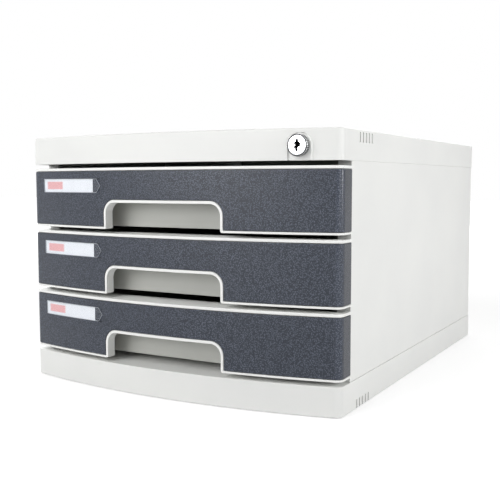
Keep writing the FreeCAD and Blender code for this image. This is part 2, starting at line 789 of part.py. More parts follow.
def lock_housing():
    """Bezel and barrel of the lock, bored for the plug."""
    body = new_body("lock_housing")
    face, seat, back = "0 - lock_face", "0 - lock_seat", "0 - barrel_back"
    bore, mouth = "plug_radius + plug_play", "plug_disc + plug_play"
    floor = "disc_gauge + 2 * disc_sunk - lock_face"
    profile = Profile(body, "section", "XY_Plane", "0").outline([
        (mouth, face), ("bezel_radius - bezel_chamfer", face),
        ("bezel_radius", "bezel_chamfer - lock_face"), ("bezel_radius", seat),
        ("barrel_radius", seat), ("barrel_radius", back), (bore, back), (bore, floor),
        (mouth, floor)])
    spin(body, profile)
    return at_lock(body)


def lock_nut():
    """Hexagon nut that clamps the lock to its seat."""
    body = new_body("lock_nut")
    corner = "( nut_flats / sqrt ( 3 ) )"
    flat = "nut_flats / 2"
    hexagon = Profile(body, "hexagon", "XZ_Plane", "lock_boss_back").outline([
        (corner, "0"), (f"{corner} / 2", flat), (f"0 - {corner} / 2", flat),
        (f"0 - {corner}", "0"), (f"0 - {corner} / 2", f"0 - {flat}"),
        (f"{corner} / 2", f"0 - {flat}")])
    add(body, hexagon, "nut_gauge", -1)
    bore = Profile(body, "bore", "XZ_Plane", "lock_boss_back")
    bore.circle("0", "0", "barrel_radius + barrel_play / 2")
    cut(body, bore, "nut_gauge", -1)
    return at_lock(body)


def lock_plug():
    """Turning plug with its keyway and the hole for the cam screw."""
    body = new_body("lock_plug")
    face, back = "disc_sunk - lock_face", "0 - plug_back"
    step = f"{face} + disc_gauge"
    profile = Profile(body, "section", "XY_Plane", "0").outline([
        ("0", face), ("plug_disc", face), ("plug_disc", step), ("plug_radius", step),
        ("plug_radius", back), ("0", back)])
    spin(body, profile)
    foot_left, foot_right = "0 - key_half - key_shift", "key_half - key_shift"
    keyway = Profile(body, "keyway", "XZ_Plane", "lock_face").outline([
        (foot_left, "0 - key_tall"), (foot_right, "0 - key_tall"), (foot_right, "0 - key_step"),
        ("key_ward", "0 - key_step / 2"), ("key_ward", "key_step"), ("key_half", "key_step * 2"),
        ("key_half", "key_tall"), ("0 - key_half", "key_tall"), ("0 - key_half", "key_step * 2"),
        ("0 - key_ward", "key_step"), (foot_left, "0"), ("0 - key_ward", "0 - key_step"),
        (foot_left, "0 - key_step * 2")])
    cut(body, keyway, "key_depth", -1)
    hole = Profile(body, "screw_hole", "XZ_Plane", "plug_back")
    hole.circle("0", "0", "screw_hole")
    cut(body, hole, "cam_screw", 1)
    return at_lock(body)


def lock_cam():
    """Crank on the plug's rear end, whose pin works in the slot of the gang bar."""
    body = new_body("lock_cam")
    lean = "( ( cam_radius - crank_round ) / crank )"
    rise = f"sqrt ( 1 - {lean} ^ 2 )"
    crank = Profile(body, "crank", "XZ_Plane", "plug_back").outline([
        ("0 - cam_radius", "0", "left", "cam_radius"),
        (f"cam_radius * {lean}", f"0 - cam_radius * {rise}"),
        (f"crank + crank_round * {lean}", f"0 - crank_round * {rise}", "left", "crank_round"),
        (f"crank + crank_round * {lean}", f"crank_round * {rise}"),
        (f"cam_radius * {lean}", f"cam_radius * {rise}", "left", "cam_radius")])
    add(body, crank, "cam_gauge", -1)
    hole = Profile(body, "hole", "XZ_Plane", "plug_back")
    hole.circle("0", "0", "screw_hole")
    cut(body, hole, "cam_gauge", -1)
    pin = Profile(body, "pin", "XZ_Plane", "pin_back")
    pin.circle("crank", "0", "crank_pin")
    add(body, pin, "plug_back - pin_back - cam_gauge / 2", 1)
    body.Placement.Rotation = FreeCAD.Rotation(FreeCAD.Vector(0, 1, 0), -number("crank_angle"))
    return at_lock(body)


def cam_screw():
    """Screw that holds the crank to the plug."""
    return screw("cam_screw", "cam_screw", -1, "lock_x", "cam_gauge - plug_back", "lock_z")


def lock_bar():
    """Bent sheet bar: slotted arm at the lock, upright strip, and a tab for each drawer."""
    body = new_body("lock_bar")
    pin_rise = "crank * sin ( crank_angle * 1 deg )"
    slot_z = f"( lock_z + {pin_rise} )"
    outer = "( bar_inner + bar_gauge )"
    top, arm_left = f"{slot_z} + arm_half", "lock_x - arm_start"
    slot_left, slot_right = "lock_x + slot_start", "lock_x + slot_end"
    strip = Profile(body, "strip", "XY_Plane", "bar_bottom")
    strip.rectangle("bar_inner", "0 - bar_front", outer, "bar_width - bar_front")
    add(body, strip, f"{top} - bar_bottom")
    arm = Profile(body, "arm", "XZ_Plane", "bar_front").outline([
        (f"{arm_left} + arm_half", f"{slot_z} - arm_half"), (outer, f"{slot_z} - arm_half"),
        (outer, top), (f"{arm_left} + arm_half", top, "left", "arm_half"),
        (arm_left, slot_z, "left", "arm_half")])
    add(body, arm, "bar_gauge", -1)
    slot = Profile(body, "slot", "XZ_Plane", "bar_front")
    left, right = f"{slot_left} + slot_half", f"{slot_right} - slot_half"
    slot.outline([(left, f"{slot_z} - slot_half"),
                  (right, f"{slot_z} - slot_half", "left", "slot_half"),
                  (slot_right, slot_z, "left", "slot_half"),
                  (right, f"{slot_z} + slot_half"),
                  (left, f"{slot_z} + slot_half", "left", "slot_half"),
                  (slot_left, slot_z, "left", "slot_half")])
    cut(body, slot, "bar_gauge", -1)
    tab = Profile(body, "tab", "XZ_Plane", "bar_front")
    low = f"{tier_bottom(0)} + tab_low"
    tab.rectangle("tab_reach", low, outer, f"{low} + tab_height")
    one = add(body, tab, "bar_gauge", -1)
    repeat(body, one, (tab.sketch, ["V_Axis"]), PITCH, len(TIERS))
    return body


def build():
    """All pieces, as objects whose labels name their files."""
    pieces = [top_cover(), base_tray(), rubber_feet(), side_panel("left", -1),
              side_panel("right", 1), back_panel(), case_screws(), lock_housing(), lock_nut(),
              lock_plug(), lock_cam(), cam_screw(), lock_bar()]
    for tier in range(len(TIERS)):
        pieces += [drawer_tray(tier), drawer_front(tier), drawer_facing(tier),
                   label_card(tier), label_window(tier)]
    return pieces


def export(pieces):
    """Check every object and write one STEP file for each piece."""
    DOCUMENT.recompute()
    failed = [item.Label for item in DOCUMENT.Objects
              if "Invalid" in item.State or "Error" in item.State]
    if failed:
        raise RuntimeError(f"These objects failed: {failed}")
    os.makedirs("parts", exist_ok=True)
    for piece in pieces:
        shape = piece.Shape
        if shape.isNull() or not shape.isValid():
            raise RuntimeError(f"{piece.Label} has no valid shape")
        shape.exportStep(os.path.join("parts", f"{piece.Label}.step"))
        box = shape.BoundBox
        print(f"{piece.Label}: {shape.Volume:.0f} mm3, {len(shape.Solids)} solids, "
              f"x {box.XMin:.1f}..{box.XMax:.1f}, y {box.YMin:.1f}..{box.YMax:.1f}, "
              f"z {box.ZMin:.1f}..{box.ZMax:.1f}")


export(build())
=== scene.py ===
"""Desktop file drawer: a bowed plastic case with three drawers, name cards and a cam lock."""

import logging
import math
from dataclasses import dataclass
from enum import Enum
from typing import Callable, Optional, Sequence, Union

import bmesh
import bpy
from mathutils import Matrix, Vector
from mathutils.bvhtree import BVHTree


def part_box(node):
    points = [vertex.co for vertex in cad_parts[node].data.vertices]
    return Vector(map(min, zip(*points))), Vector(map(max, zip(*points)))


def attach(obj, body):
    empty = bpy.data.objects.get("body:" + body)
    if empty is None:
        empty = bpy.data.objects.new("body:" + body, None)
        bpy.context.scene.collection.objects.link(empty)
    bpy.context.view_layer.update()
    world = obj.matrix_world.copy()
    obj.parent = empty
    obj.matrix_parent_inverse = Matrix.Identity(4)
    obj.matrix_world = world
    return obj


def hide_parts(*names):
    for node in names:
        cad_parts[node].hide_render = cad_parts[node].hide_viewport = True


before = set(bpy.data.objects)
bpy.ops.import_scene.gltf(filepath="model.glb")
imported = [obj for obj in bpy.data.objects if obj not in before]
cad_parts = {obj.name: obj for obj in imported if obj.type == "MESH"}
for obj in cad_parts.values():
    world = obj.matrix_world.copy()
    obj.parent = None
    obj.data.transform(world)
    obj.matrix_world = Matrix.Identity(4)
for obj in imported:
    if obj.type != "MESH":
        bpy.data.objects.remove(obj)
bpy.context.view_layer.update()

LOG = logging.getLogger("file_drawer")
MM = 0.001
WELD = 2e-6
FLAT = math.radians(0.4)
OPPOSITE = -0.999
PROBES = 8
LIFT = 0.02
LOCK_X = 112.5
LOCK_Z = 191.0
WHITE = (1.0, 1.0, 1.0, 1.0)
# Name of the face mark that tells a finish where to paint shade.
PAINTED_SHADE_MASK = "recess"
RIM = "rim"

Colour = tuple[float, float, float]


class Body(Enum):
    """The moving bodies that pieces ride on."""

    CASE = "case"
    LOCK_PLUG = "lock_plug"
    LOCK_BAR = "lock_bar"
    LOWER = "lower_drawer"
    MIDDLE = "middle_drawer"
    UPPER = "upper_drawer"


class Slot(Enum):
    """The record's material slots."""

    LIGHT = "light_plastic"
    TRAY = "tray_plastic"
    DARK = "dark_plastic"
    CARD = "card_paper"
    CLEAR = "clear_plastic"
    RUBBER = "foot_rubber"
    CHROME = "lock_chrome"
    PLATED = "plated_steel"
    SCREW = "screw_steel"


# Node trees


class Wire:
    """A socket that arithmetic can be done on."""

    def __init__(self, tree: "Tree", socket: bpy.types.NodeSocket) -> None:
        """Wraps an output socket of a tree."""
        self.tree = tree
        self.socket = socket

    def _math(self, operation: str, first: "Value", second: "Value") -> "Wire":
        """Adds a Math node for two numbers."""
        return self.tree.node(self.tree.math, {"operation": operation}, {0: first, 1: second})

    def __add__(self, other: "Value") -> "Wire":
        """Sum."""
        return self._math("ADD", self, other)

    def __radd__(self, other: "Value") -> "Wire":
        """Sum, reflected."""
        return self._math("ADD", other, self)

    def __sub__(self, other: "Value") -> "Wire":
        """Difference."""
        return self._math("SUBTRACT", self, other)

    def __rsub__(self, other: "Value") -> "Wire":
        """Difference, reflected."""
        return self._math("SUBTRACT", other, self)

    def __mul__(self, other: "Value") -> "Wire":
        """Product."""
        return self._math("MULTIPLY", self, other)

    def __rmul__(self, other: "Value") -> "Wire":
        """Product, reflected."""
        return self._math("MULTIPLY", other, self)

    def also(self, output: Union[int, str]) -> "Wire":
        """Another output of the same node."""
        return Wire(self.tree, self.socket.node.outputs[output])

    def over(self, other: "Value") -> "Wire":
        """One where this is the larger, else nought."""
        return self._math("GREATER_THAN", self, other)

    def most(self, other: "Value") -> "Wire":
        """The larger of two numbers."""
        return self._math("MAXIMUM", self, other)


Value = Union[Wire, int, float, Sequence[float], str, None]


class Tree:
    """A node tree that is built in code."""

    math = "ShaderNodeMath"

    def __init__(self, tree: bpy.types.NodeTree) -> None:
        """Takes over a tree and empties it."""
        self.tree = tree
        tree.nodes.clear()

    def node(self, kind: str, settings: dict, inputs: dict, output: Union[int, str] = 0) -> Wire:
        """Adds a node.

        Args:
            kind: The node's type.
            settings: Its properties, set first.
            inputs: Values or wires by the socket's name or number.
            output: The name or number of the output to return.

        Returns:
            The output as a wire, or nothing from a node that has none.
        """
        made = self.tree.nodes.new(kind)
        for name, setting in settings.items():
            setattr(made, name, setting)
        for name, value in inputs.items():
            if isinstance(value, Wire):
                self.tree.links.new(value.socket, made.inputs[name])
            else:
                made.inputs[name].default_value = value
        return Wire(self, made.outputs[output]) if made.outputs else None

    def band(self, value: Wire, low: float, high: float) -> Wire:
        """Share from nought at low to one at high, eased at both ends."""
        return self.node("ShaderNodeMapRange", {"interpolation_type": "SMOOTHSTEP"},
                         {"Value": value, "From Min": low, "From Max": high})

    def shown(self) -> Wire:
        """One for rays from the camera, from gloss and through glass, else nought."""
        seen = self.node("ShaderNodeLightPath", {}, {}, "Is Camera Ray")
        return seen.most(seen.also("Is Glossy Ray")).most(seen.also("Is Transmission Ray"))


class Recipe(Tree):
    """A material's node tree."""

    def __init__(self, name: str) -> None:
        """Makes a new material.

        Args:
            name: The material's name.
        """
        self.material = bpy.data.materials.new(name)
        self.material.use_nodes = True
        super().__init__(self.material.node_tree)

    def place(self, centre: Sequence[float] = (0.0, 0.0, 0.0),
              stretch: Sequence[float] = (1.0, 1.0, 1.0)) -> Wire:
        """Object coordinates, moved to a centre and stretched.

        Args:
            centre: The place that becomes the origin, in metres.
            stretch: Factor along each axis.

        Returns:
            The coordinates in metres.
        """
        raw = self.node("ShaderNodeTexCoord", {}, {}, "Object")
        moved = self.node("ShaderNodeVectorMath", {"operation": "SUBTRACT"}, {0: raw, 1: centre})
        return self.node("ShaderNodeVectorMath", {"operation": "MULTIPLY"}, {0: moved, 1: stretch})

    def noise(self, where: Wire, scale: float, detail: float = 2.0, rough: float = 0.5) -> Wire:
        """Noise from nought to one; scale is in grains for each metre."""
        return self.node("ShaderNodeTexNoise", {}, {
            "Vector": where, "Scale": scale, "Detail": detail, "Roughness": rough})

    def attribute(self, name: str) -> Wire:
        """A mesh's own number of that name."""
        return self.node("ShaderNodeAttribute", {"attribute_name": name}, {}, "Fac")

    def mix(self, share: Value, first: Value, second: Value) -> Wire:
        """Blend of two colours.

        Args:
            share: How much of the second shows, from nought to one.
            first: One colour.
            second: The other.

        Returns:
            The blended colour.
        """
        pair = [c if isinstance(c, Wire) else (*c, 1.0) for c in (first, second)]
        # Sockets 6 and 7 and output 2 are the ones for colours.
        return self.node("ShaderNodeMix", {"data_type": "RGBA"},
                         {0: share, 6: pair[0], 7: pair[1]}, 2)

    def bump(self, height: Wire, depth: float, strength: float) -> Wire:
        """Normal for a height of that depth in metres."""
        return self.node("ShaderNodeBump", {},
                         {"Height": height, "Distance": depth, "Strength": strength})

    def finish(self, **inputs: Value) -> bpy.types.Material:
        """Ends the tree in one Principled surface.

        Args:
            inputs: The shader's sockets, with underscores for spaces.

        Returns:
            The material.
        """
        named = {name.replace("_", " "): value for name, value in inputs.items()}
        surface = self.node("ShaderNodeBsdfPrincipled", {}, named)
        self.node("ShaderNodeOutputMaterial", {}, {"Surface": surface})
        return self.material


class Growth(Tree):
    """A Geometry Nodes tree with named inputs."""

    def __init__(self, name: str, inputs: dict[str, tuple[str, Value]]) -> None:
        """Makes a tree.

        Args:
            name: The tree's name.
            inputs: Socket kind and value by input name.
        """
        super().__init__(bpy.data.node_groups.new(name, "GeometryNodeTree"))
        face = self.tree.interface
        face.new_socket("Geometry", in_out="INPUT", socket_type="NodeSocketGeometry")
        self.values = {name: value for name, (_, value) in inputs.items()}
        for label, (kind, _) in inputs.items():
            face.new_socket(label, in_out="INPUT", socket_type=kind)
        face.new_socket("Geometry", in_out="OUTPUT", socket_type="NodeSocketGeometry")
        self.group = self.node("NodeGroupInput", {}, {})

    def given(self, name: str) -> Wire:
        """One of the tree's named inputs."""
        return self.group.also(name)

    def end(self, geometry: Wire, material: bpy.types.Material) -> None:
        """Realizes what was grown and gives it its material.

        Args:
            geometry: What the tree made.
            material: Its finish.
        """
        real = self.node("GeometryNodeRealizeInstances", {}, {"Geometry": geometry})
        painted = self.node("GeometryNodeSetMaterial", {}, {"Geometry": real, "Material": material})
        self.node("NodeGroupOutput", {}, {"Geometry": painted})

    def grow(self, seed_mesh: bpy.types.Mesh) -> bpy.types.Mesh:
        """Runs the tree on a mesh and returns the plain result."""
        return evaluated(seed_mesh, self._fit)

    def _fit(self, worker: bpy.types.Object) -> None:
        """Puts the tree and its inputs on an object.

        Args:
            worker: The object that the tree runs on.
        """
        modifier = worker.modifiers.new(self.tree.name, "NODES")
        modifier.node_group = self.tree
        for item in self.tree.interface.items_tree:
            if item.in_out == "INPUT" and item.name in self.values:
                modifier[item.identifier] = self.values[item.name]


# Finishes


@dataclass(frozen=True)
class MouldedPlastic:
    """Opaque plastic with the fine even texture of an eroded mould, and painted shade in its narrow
    grooves.
    """

    name: str
    colour: Colour
    shade: Colour
    roughness: float = 0.44
    texture: float = 0.3
    # Colour and share of the painted shade in narrow grooves.
    painted_shade_colour: Colour = (0.16, 0.16, 0.15)
    painted_shade_share: float = 0.7

    def material(self) -> bpy.types.Material:
        """Makes the finish of the case, the drawer fronts and the trays.

        Returns:
            The material.
        """
        recipe = Recipe(self.name)
        where = recipe.place()
        cloud = recipe.noise(where, scale=14.0, detail=3.0)
        grit = recipe.noise(where, scale=2600.0, detail=2.0, rough=0.6)
        fine = recipe.noise(where, scale=900.0, detail=1.0)
        # Faces marked as lying in grooves are painted toward a dark grey: painted shade.
        painted_shade = recipe.attribute(PAINTED_SHADE_MASK)
        clean = recipe.mix(recipe.band(cloud, 0.3, 0.7), self.colour, self.shade)
        colour = recipe.mix(painted_shade * self.painted_shade_share, clean, self.painted_shade_colour)
        rough = self.roughness + (cloud - 0.5) * 0.08 + (grit - 0.5) * 0.06
        height = grit * 0.6 + fine * 0.4
        return recipe.finish(Base_Color=colour, Roughness=rough, IOR=1.5,
                             Normal=recipe.bump(height, depth=0.03 * MM, strength=self.texture))


@dataclass(frozen=True)
class GrainedPlastic:
    """Dark plastic with a pebbled leather grain and a painted sheen on its pebble tops, worn
    smoother where it bends at a corner and painted lighter there as a highlight.

    The bend is given by X squared in square metres, and its end at the side by Y in metres.
    """

    name: str
    low: Colour
    high: Colour
    pebble: float
    roughness: float
    shadow: Colour = (0.011, 0.013, 0.02)
    bend_start: float = 0.0187
    bend_full: float = 0.0192
    side_start: float = -0.1665
    side_full: float = -0.164
    worn_smooth: float = 0.8
    # How much lighter the bend is painted, as a highlight.
    bend_highlight: float = 0.24
    worn_polish: float = 0.08

    def material(self) -> bpy.types.Material:
        """Makes the finish of the drawer facings.

        Returns:
            The material.
        """
        recipe = Recipe(self.name)
        where = recipe.place()
        sway = recipe.node("ShaderNodeTexNoise", {}, {"Vector": where, "Scale": 300.0,
                                                      "Detail": 2.0}, "Color")
        drift = recipe.node("ShaderNodeVectorMath", {"operation": "SCALE"},
                            {0: sway, "Scale": self.pebble * 0.6})
        bent = recipe.node("ShaderNodeVectorMath", {"operation": "ADD"}, {0: where, 1: drift})
        cells = recipe.node("ShaderNodeTexVoronoi", {"feature": "SMOOTH_F1"},
                            {"Vector": bent, "Scale": 1.0 / self.pebble, "Smoothness": 0.25},
                            "Distance")
        pores = recipe.noise(where, scale=1800.0, detail=2.0, rough=0.6)
        broad = recipe.noise(where, scale=30.0, detail=3.0)
        crown = 1.0 - recipe.band(cells, 0.15, 0.6)
        side = recipe.node("ShaderNodeSeparateXYZ", {}, {0: where})
        bend = recipe.band(side * side, self.bend_start, self.bend_full)
        worn = bend * (1.0 - recipe.band(side.also("Y"), self.side_start, self.side_full))
        height = (crown * 0.85 + pores * 0.15) * (1.0 - worn * self.worn_smooth)
        # Pebble tops are painted lighter as a sheen; the pores and the broad noise add random tone.
        share = recipe.band(crown * 0.8 + pores * 0.3 + (broad - 0.5) * 0.15, 0.2, 0.95)
        # The bend at the corner is painted lighter still: a painted highlight.
        paler = share + worn * self.bend_highlight
        # Marked edges and the side round the corner are painted toward the shadow colour: painted
        # shade.
        rim = recipe.attribute(PAINTED_SHADE_MASK)
        grained = recipe.mix(paler, self.low, self.high)
        colour = recipe.mix(rim, grained, self.shadow)
        rough = self.roughness - crown * 0.1 - worn * self.worn_polish + (broad - 0.5) * 0.06
        return recipe.finish(Base_Color=colour, Roughness=rough, IOR=1.43,
                             Normal=recipe.bump(height, depth=0.1 * MM, strength=0.58))


@dataclass(frozen=True)
class NameCardPaper:
    """White card with a plain pale-red index bar and no lettering."""

    name: str
    paper: Colour
    bar: Colour
    fibres: Colour = (0.55, 0.56, 0.58)

    def material(self) -> bpy.types.Material:
        """Makes the finish of the name cards, laid out on their own UV map.

        Returns:
            The material.
        """
        recipe = Recipe(self.name)
        where = recipe.node("ShaderNodeUVMap", {"uv_map": "card"}, {})
        u = recipe.node("ShaderNodeSeparateXYZ", {}, {0: where})
        v = u.also("Y")
        across = recipe.band(u, 0.05, 0.09) * (1.0 - recipe.band(u, 0.38, 0.42))
        along = recipe.band(v, 0.2, 0.26) * (1.0 - recipe.band(v, 0.76, 0.82))
        fibre = recipe.noise(recipe.place(), scale=3000.0, detail=3.0)
        printed = recipe.mix(across * along * (0.88 + fibre * 0.12), self.paper, self.bar)
        shaded = recipe.mix(fibre * 0.06, printed, self.fibres)
        return recipe.finish(Base_Color=shaded, Roughness=0.6 + fibre * 0.1,
                             Normal=recipe.bump(fibre, depth=0.02 * MM, strength=0.3))


@dataclass(frozen=True)
class ClearPlastic:
    """Thin clear plastic whose cut edges catch the light, shown by a painted highlight: they are
    lighter and nearly opaque.
    """

    name: str
    body: Colour
    edge: Colour

    def material(self) -> bpy.types.Material:
        """Makes the finish of the slips over the name cards.

        Returns:
            The material.
        """
        recipe = Recipe(self.name)
        rim = recipe.attribute(RIM)
        haze = recipe.noise(recipe.place(), scale=200.0, detail=3.0)
        # The marked cut edges are painted lighter and made nearly opaque: a painted highlight.
        colour = recipe.mix(rim, self.body, self.edge)
        alpha = 0.02 + haze * 0.03 + rim * 0.8
        return recipe.finish(Base_Color=colour, Alpha=alpha, Roughness=0.12 + haze * 0.1, IOR=1.49)


@dataclass(frozen=True)
class Rubber:
    """Dull dark rubber."""

    name: str
    colour: Colour
    worn: Colour

    def material(self) -> bpy.types.Material:
        """Makes the finish of the feet.

        Returns:
            The material.
        """
        recipe = Recipe(self.name)
        where = recipe.place()
        grain = recipe.noise(where, scale=1500.0, detail=3.0, rough=0.6)
        dust = recipe.noise(where, scale=160.0, detail=4.0)
        colour = recipe.mix(recipe.band(dust, 0.45, 0.8), self.colour, self.worn)
        return recipe.finish(Base_Color=colour, Roughness=0.78 + grain * 0.12,
                             Normal=recipe.bump(grain, depth=0.05 * MM, strength=0.5))


@dataclass(frozen=True)
class Metal:
    """Plated metal with turning marks round an axis along Y, or plain grain, and painted shade on
    its marked faces.
    """

    name: str
    colour: Colour
    tint: Colour
    roughness: float
    axis: Optional[Sequence[float]] = None
    marks: float = 0.25
    # Colour of the painted shade on marked faces.
    painted_shade: Colour = (0.008, 0.008, 0.01)

    def material(self) -> bpy.types.Material:
        """Makes the finish of the lock, its works and the screws.

        Returns:
            The material.
        """
        recipe = Recipe(self.name)
        stain = recipe.noise(recipe.place(), scale=120.0, detail=4.0)
        if self.axis:
            where = recipe.place(self.axis, (1.0, 0.0, 1.0))
            reach = recipe.node("ShaderNodeVectorMath", {"operation": "LENGTH"}, {0: where},
                                "Value")
            line = recipe.node("ShaderNodeTexNoise", {"noise_dimensions": "1D"},
                               {"W": reach, "Scale": 9000.0, "Detail": 3.0})
        else:
            drawn = recipe.place(stretch=(1.0, 1.0, 12.0))
            line = recipe.noise(drawn, scale=700.0, detail=3.0, rough=0.65)
        # Marked faces are painted near black and not metallic: painted shade.
        painted_shade = recipe.attribute(PAINTED_SHADE_MASK)
        plated = recipe.mix(recipe.band(stain, 0.35, 0.75), self.colour, self.tint)
        colour = recipe.mix(painted_shade, plated, self.painted_shade)
        rough = self.roughness + line * 0.1 + (stain - 0.5) * 0.08 + painted_shade * 0.3
        return recipe.finish(Base_Color=colour, Metallic=1.0 - painted_shade, Roughness=rough,
                             Normal=recipe.bump(line, depth=0.004 * MM, strength=self.marks))


# Mesh helpers


def add_object(name: str, data: bpy.types.ID) -> bpy.types.Object:
    """Puts a new object into the scene.

    Args:
        name: Its name.
        data: Its mesh, lamp or camera.

    Returns:
        The object.
    """
    made = bpy.data.objects.new(name, data)
    bpy.context.scene.collection.objects.link(made)
    return made


def evaluated(mesh: bpy.types.Mesh, fit: Callable[[bpy.types.Object], None]) -> bpy.types.Mesh:
    """A plain mesh of what modifiers make of another.

    Args:
        mesh: The mesh to start from.
        fit: Puts the modifiers on the object it is given.

    Returns:
        The finished mesh.
    """
    worker = add_object("worker", mesh)
    fit(worker)
    bpy.context.view_layer.update()
    made = bpy.data.meshes.new_from_object(
        worker.evaluated_get(bpy.context.evaluated_depsgraph_get()))
    bpy.data.objects.remove(worker)
    return made


def merged_copy(node: str, crumb: float = 0.0) -> bmesh.types.BMesh:
    """A CAD node's shape with its triangles joined into whole faces.

    Args:
        node: The node's name.
        crumb: Edges shorter than this many millimetres are closed up.

    Returns:
        The shape.
    """
    shape = bmesh.new()
    shape.from_mesh(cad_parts[node].data)
    for reach in (WELD, crumb * MM):
        bmesh.ops.remove_doubles(shape, verts=shape.verts, dist=max(reach, WELD))
        bmesh.ops.dissolve_limit(shape, angle_limit=FLAT, verts=shape.verts, edges=shape.edges)
    mend_rings(shape)
    return shape


def mend_rings(shape: bmesh.types.BMesh) -> None:
    """Fills each flat ring anew that joining has left as a plate and a reversed inner plate.

    Args:
        shape: A shape with whole faces, which is changed.
    """
    broad = [face for face in shape.faces if face.calc_area() > MM * MM]
    for inner in sorted(broad, key=lambda face: face.calc_area()):
        plate = next((face for face in broad if covers(face, inner)), None)
        if plate is None:
            continue
        up = plate.normal.copy()
        rims = list({*inner.edges, *plate.edges})
        bmesh.ops.delete(shape, geom=[inner, plate], context="FACES_ONLY")
        ring = bmesh.ops.triangle_fill(shape, use_beauty=True, edges=rims, normal=up)["geom"]
        faces = [item for item in ring if isinstance(item, bmesh.types.BMFace)]
        for face in faces:
            face.normal_update()
            if face.normal.dot(up) < 0.0:
                face.normal_flip()
        LOG.info("mended a flat ring with %d faces", len(faces))


def covers(plate: bmesh.types.BMFace, inner: bmesh.types.BMFace) -> bool:
    """Tells whether a face lies over a smaller one that is turned the other way.

    Args:
        plate: The larger face.
        inner: The smaller face.

    Returns:
        True where both are still there and the first covers the second.
    """
    if not (plate.is_valid and inner.is_valid) or plate.normal.dot(inner.normal) > OPPOSITE:
        return False
    corner = inner.verts[0].co
    level = abs((plate.verts[0].co - corner).dot(plate.normal)) <= WELD
    larger = plate.calc_area() > inner.calc_area()
    return larger and level and bool(bmesh.geometry.intersect_face_point(plate, corner))


def to_mesh(shape: bmesh.types.BMesh, name: str) -> bpy.types.Mesh:
    """Writes a shape to a new mesh, without the normals it was copied with.

    Args:
        shape: The shape, which is freed.
        name: The mesh's name.

    Returns:
        The mesh.
    """
    mesh = bpy.data.meshes.new(name)
    shape.to_mesh(mesh)
    shape.free()
    stale = mesh.attributes.get("custom_normal")
    if stale:
        mesh.attributes.remove(stale)
    mesh.materials.clear()
    return mesh


def rounded(mesh: bpy.types.Mesh, radius: float, segments: int = 2,
            angle: float = 24.0) -> bpy.types.Mesh:
    """Rounds a mesh's sharp edges over and smooths its curved faces.

    Args:
        mesh: A closed mesh with whole faces.
        radius: Width of the rounding in millimetres.
        segments: Steps across the rounding.
        angle: Edges sharper than this many degrees are rounded.

    Returns:
        The rounded mesh.
    """
    def fit(worker: bpy.types.Object) -> None:
        """Adds the rounding and evens the normals.

        Args:
            worker: The object that is rounded.
        """
        bevel = worker.modifiers.new("round_over", "BEVEL")
        bevel.width = radius * MM
        bevel.segments = segments
        bevel.limit_method = "ANGLE"
        bevel.angle_limit = math.radians(angle)
        bevel.use_clamp_overlap = False
        bevel.miter_outer = "MITER_SHARP"
        weigh = worker.modifiers.new("even_normals", "WEIGHTED_NORMAL")
        weigh.keep_sharp = True
        weigh.weight = 100

    mesh.shade_smooth()
    return evaluated(mesh, fit)


def mark_recesses(mesh: bpy.types.Mesh, reach: float) -> None:
    """Marks the faces that stand in narrow grooves, where little light gets in, so that their
    finish paints shade there.

    Args:
        mesh: A closed mesh.
        reach: Width of the widest groove in millimetres.
    """
    shape = bmesh.new()
    shape.from_mesh(mesh)
    walls = BVHTree.FromBMesh(shape)
    marks = [0.0] * len(shape.faces)
    for face in shape.faces:
        across = face.normal.orthogonal().normalized()
        hits = 0
        for step in range(PROBES):
            turn = Matrix.Rotation(math.tau * step / PROBES, 3, face.normal)
            way = (face.normal + turn @ across * 2.0).normalized()
            start = face.calc_center_median() + face.normal * LIFT * MM
            hits += walls.ray_cast(start, way, reach * MM)[0] is not None
        marks[face.index] = float(hits >= PROBES / 2)
    shape.free()
    mesh.attributes.new(PAINTED_SHADE_MASK, "FLOAT", "FACE").data.foreach_set("value", marks)


def mark_faces(mesh: bpy.types.Mesh, name: str,
               rate: Callable[[bpy.types.MeshPolygon], float]) -> None:
    """Gives each face of a mesh a number that its finish reads.

    Args:
        mesh: The mesh.
        name: The number's name.
        rate: Works out the number from a face.
    """
    marks = mesh.attributes.new(name, "FLOAT", "FACE").data
    marks.foreach_set("value", [float(rate(face)) for face in mesh.polygons])


def smooth(mesh: bpy.types.Mesh, angle: float) -> None:
    """Smooths a mesh but for edges sharper than the angle in degrees."""
    mesh.shade_smooth()
    mesh.set_sharp_from_angle(angle=math.radians(angle))


def lathe(profile: Sequence[tuple[float, float]], steps: int) -> bmesh.types.BMesh:
    """Turns a profile round the Y axis.

    Args:
        profile: Radius and Y in millimetres; it starts and ends on the axis, or closes on itself.
        steps: Faces round the axis.

    Returns:
        The closed shape, faces outward.
    """
    shape = bmesh.new()
    closed = profile[0][0] > 0.0
    rings = []
    for radius, y in profile:
        count = steps if radius > 0.0 else 1
        rings.append([shape.verts.new((radius * MM * math.cos(math.tau * k / steps), y * MM,
                                       radius * MM * math.sin(math.tau * k / steps)))
                      for k in range(count)])
    pairs = list(zip(rings, rings[1:])) + ([(rings[-1], rings[0])] if closed else [])
    for one, two in pairs:
        for k in range(steps):
            n = (k + 1) % steps
            corners = [one[k % len(one)], one[n % len(one)], two[n % len(two)], two[k % len(two)]]
            shape.faces.new(list(dict.fromkeys(corners)))
    bmesh.ops.recalc_face_normals(shape, faces=shape.faces)
    return shape


